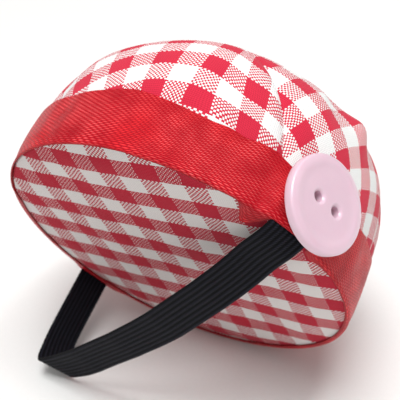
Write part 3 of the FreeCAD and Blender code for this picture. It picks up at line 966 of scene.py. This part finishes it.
def elastic(name):
    """Black braided elastic: a fine knit along each rib, with a painted highlight on the crests and
    painted shade, darkest, in the grooves.
    """
    made = Material(name)
    u, v = made.fabric()
    loop = ((u / 0.42 + v * 1.3).fraction() - 0.5).absolute() * 2
    # painted highlight on each rib's crest, fading to painted shade in the grooves between ribs
    crest = (v.fraction() - 0.5).absolute().between(0.32, 0.04)
    light = crest * (loop * 0.6 + made.noise(0.0003) * 0.6)
    made.set(Base_Color=light.blend((0.001, 0.001, 0.0025), (0.019, 0.019, 0.031)),
             Roughness=0.7, Sheen_Weight=0.02, Sheen_Roughness=0.4, Specular_IOR_Level=0.12)
    made.bump(loop * 0.5 + crest * 0.5, 0.00010, 0.8)
    return made.block


def button_plastic(name):
    """Pearly pink plastic, slightly see-through, with faint moulding ripples and fine scratches."""
    made = Material(name)
    cloud = made.noise(0.004)
    scratch = made.noise(0.0006, 4, 0.6)
    made.set(Base_Color=cloud.blend((0.74, 0.515, 0.62), (0.79, 0.575, 0.665)),
             Roughness=scratch.number_blend(0.26, 0.42), Specular_IOR_Level=0.5,
             Subsurface_Weight=0.25, Subsurface_Scale=0.002, Subsurface_Radius=(1.0, 0.6, 0.7),
             Coat_Weight=0.6, Coat_Roughness=0.08)
    made.bump(made.noise(0.0025, 2), 0.00006, 0.35)
    return made.block


def fibrous(name, dark, light, size, depth):
    """Loose or pressed fibres: wadding, stuffing and greyboard."""
    made = Material(name)
    strands = made.noise(size, 5, 0.7)
    made.set(Base_Color=strands.between(0.3, 0.7).blend(dark, light), Roughness=0.9,
             Specular_IOR_Level=0.2, Sheen_Weight=0.2)
    made.bump(strands, depth)
    return made.block


def twisted_thread(name):
    """White sewing thread, with its ply wound round it and painted shade in the grooves between its
    strands.
    """
    made = Material(name)
    x, y, z = made.split(made.place())
    # painted shade: the thread's white darkens to grey along the grooves of its ply
    ply = ((x * 0.6 + y * 0.8 + z * 1.6) / 0.0004 * 6.28).sine() * 0.5 + 0.5
    made.set(Base_Color=ply.blend((0.55, 0.53, 0.5), (0.86, 0.85, 0.82)), Roughness=0.6,
             Sheen_Weight=0.3)
    made.bump(ply, 0.00005)
    return made.block


def hot_glue(name):
    """Cloudy melt glue with stringy surface ripples."""
    made = Material(name)
    cloud = made.noise(0.003, 4)
    made.set(Base_Color=cloud.blend((0.62, 0.58, 0.5), (0.82, 0.8, 0.74)),
             Roughness=cloud.number_blend(0.25, 0.45), Subsurface_Weight=0.3,
             Subsurface_Scale=0.002)
    made.bump(made.noise(0.0012), 0.0001, 0.6)
    return made.block


def paint_cad_nodes():
    """Materials for the CAD nodes that are shown as they are."""
    board = fibrous("grey_board", (0.26, 0.24, 0.21), (0.42, 0.4, 0.36), 0.0012, 0.00005)
    thread = twisted_thread("gather_thread")
    glue = hot_glue("melt_glue")
    finishes = {
        board: ("base_board", "dome_board"),
        thread: ("base_gather_thread", "dome_gather_thread"),
        glue: ("assembly_glue", "button_glue"),
    }
    for material, nodes in finishes.items():
        for node in nodes:
            for slot in frame["nodes"][node].material_slots:
                slot.material = material


# ---- stage, light and camera

CAMERA_PLACE = (147.613, -63.417, -63.123)
CAMERA_LOOK = (-0.83097, 0.35428, 0.42891)
CAMERA_UP = (0.17873, -0.56010, 0.80891)
CAMERA_VIEW_ANGLE = 25.243
SENSOR_WIDTH = 36
FOCUS_POINT = (33.0, -14.0, 6.0)
# the table touches the ribbon's rim and the lowest corner of the strap's fold
TABLE_NORMAL = Vector((0.6039, -0.7074, 0.3673)).normalized()
TABLE_DISTANCE = -32.75
FLOOR_LEVEL = -29.6
SHEET_REACH = 1600
# the strap's lowest corners at its fold, each with the body that carries it
FOLD_CORNERS = {"a": ("strap_6", (-35.2, 4.4, -22.8)), "b": ("strap_5", (-34.6, 4.6, -23.2))}


def aim(item, look, up):
    """Turns an item so that its -Z axis looks one way, with its Y axis towards up."""
    look = Vector(look).normalized()
    right = look.cross(Vector(up)).normalized()
    turn = Matrix((right, right.cross(look), -look)).transposed()
    item.rotation_mode = "QUATERNION"
    item.rotation_quaternion = turn.to_quaternion()


def make_camera():
    data = bpy.data.cameras.new("camera")
    data.sensor_width = SENSOR_WIDTH
    data.lens = SENSOR_WIDTH / 2 / math.tan(math.radians(CAMERA_VIEW_ANGLE) / 2)
    data.clip_start = 0.005
    data.dof.use_dof = True
    data.dof.focus_object = add_object("focus_point", place=FOCUS_POINT)
    data.dof.aperture_fstop = 75
    camera = add_object("camera", data, CAMERA_PLACE)
    aim(camera, CAMERA_LOOK, CAMERA_UP)
    bpy.context.scene.camera = camera
    return camera


def stage_plane(name, normal, distance, material):
    """A large flat sheet whose local height is its distance from the origin along its normal."""
    corners = [(x * SHEET_REACH, y * SHEET_REACH, 0) for x, y in ((-1, -1), (1, -1), (1, 1), (-1, 1))]
    sheet = add_mesh(name, corners, [(0, 1, 2, 3)])
    sheet.data.materials.append(material)
    facing = add_object(f"{name}_facing")
    facing.rotation_mode = "QUATERNION"
    facing.rotation_quaternion = Vector(normal).to_track_quat("Z", "Y")
    sheet.parent = facing
    sheet.location.z = distance * MM
    return sheet


def drive(curve, expression, sources):
    """Ties a property to an expression in the world positions of objects, named such as camera_z."""
    for name, item in sources.items():
        for axis in "xyz":
            place = curve.driver.variables.new()
            place.name = f"{name}_{axis}"
            place.type = "TRANSFORMS"
            target = place.targets[0]
            target.id = item
            target.transform_type = f"LOC_{axis.upper()}"
            target.transform_space = "WORLD_SPACE"
    curve.driver.expression = expression


def sink_below_strap(table):
    """Keeps the table under the strap: it sinks when the swung fold would reach below it."""
    marks = {}
    for name, (body, corner) in FOLD_CORNERS.items():
        marks[name] = add_object(f"table_mark_{name}", place=corner)
        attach(marks[name], body)
    x, y, z = TABLE_NORMAL
    depths = [f"{x:.4f} * {name}_x + {y:.4f} * {name}_y + {z:.4f} * {name}_z" for name in marks]
    lowest = f"min({TABLE_DISTANCE * MM}, {', '.join(depths)})"
    drive(table.driver_add("location", 2), lowest, marks)


def paper(name):
    """Pale matt paper with a fine grain."""
    made = Material(name)
    grain = made.noise(0.0008)
    made.set(Base_Color=grain.blend((0.84, 0.838, 0.825), (0.88, 0.878, 0.865)), Roughness=0.95,
             Specular_IOR_Level=0.1)
    made.bump(grain, 0.00003, 0.3)
    return made.block


def add_light(name, kind, direction, power, distance=0.0, **settings):
    """A light that shines on the object from a direction, with its distance in metres."""
    data = bpy.data.lights.new(name, kind)
    data.energy = power
    for setting, value in settings.items():
        setattr(data, setting, value)
    light = add_object(name, data)
    direction = Vector(direction).normalized()
    light.location = direction * distance
    aim(light, -direction, UP)
    return light


def make_world():
    """Soft light from all round, a little stronger from above the table, on a pale backdrop."""
    world = bpy.data.worlds.new("studio")
    world.use_nodes = True
    tree = world.node_tree
    sides = {0: add_node(tree, "TexCoord", {}, "Generated"), 1: TABLE_NORMAL}
    facing = add_node(tree, "VectorMath", sides, "Value", operation="DOT_PRODUCT")
    seen = add_node(tree, "LightPath", {}, "Is Camera Ray")
    background = tree.nodes["Background"]
    plug(tree, (1, 1, 0.99), background.inputs["Color"])
    plug(tree, seen.number_blend(facing * 0.14 + 0.31, 0.8), background.inputs["Strength"])
    bpy.context.scene.world = world


def make_stage(camera):
    """A table under the object as it lies on its side and a floor for upright views, each with
    its own key light."""
    white = paper("pale_paper")
    table = stage_plane("lying_table", TABLE_NORMAL, TABLE_DISTANCE, white)
    sink_below_strap(table)
    lying = [table, add_light("lying_key", "AREA", (0.665, -0.710, 0.225), 7.0, 0.9, size=0.42),
             add_light("lying_glint", "AREA", (0.78, -0.46, 0.43), 1.4, 0.9, size=0.12)]
    upright = [stage_plane("upright_floor", UP, FLOOR_LEVEL, white),
               add_light("upright_key", "SUN", (0.45, -0.6, 0.75), 1.9, angle=math.radians(35))]
    for items, hidden in ((lying, "camera_z > 0"), (upright, "camera_z <= 0")):
        for item in items:
            drive(item.driver_add("hide_render"), hidden, {"camera": camera})
    add_light("back_fill", "AREA", (-0.7, 0.6, 0.6), 1.2, 0.6, size=0.5)
    make_world()
    bpy.context.scene.view_settings.view_transform = "Standard"


# ---- everything together

make_dome_cover(gingham("gingham_dome", (0.66, 0.025, 0.06), (0.93, 0.93, 0.92), 0.45, 0.38))
# painted shade: the base's cover is the dome's gingham with its red and white darkened
make_base_cover(gingham("gingham_base_painted_shade", (0.49, 0.005, 0.028), (0.82, 0.765, 0.75), 0.5, 0.14))
# the ribbon's two reds: its painted shaded red, then its painted lit red
make_ribbon(satin("red_satin", (0.65, 0.004, 0.019), (0.97, 0.033, 0.041)))
make_strap(elastic("black_elastic"))
make_button(button_plastic("pink_plastic"))
make_stuffing(fibrous("fibre_filling", (0.72, 0.7, 0.66), (0.92, 0.91, 0.88), 0.0006, 0.0002))
make_wadding(fibrous("cotton_wadding", (0.78, 0.77, 0.74), (0.94, 0.93, 0.9), 0.0005, 0.00015))
paint_cad_nodes()
make_stage(make_camera())
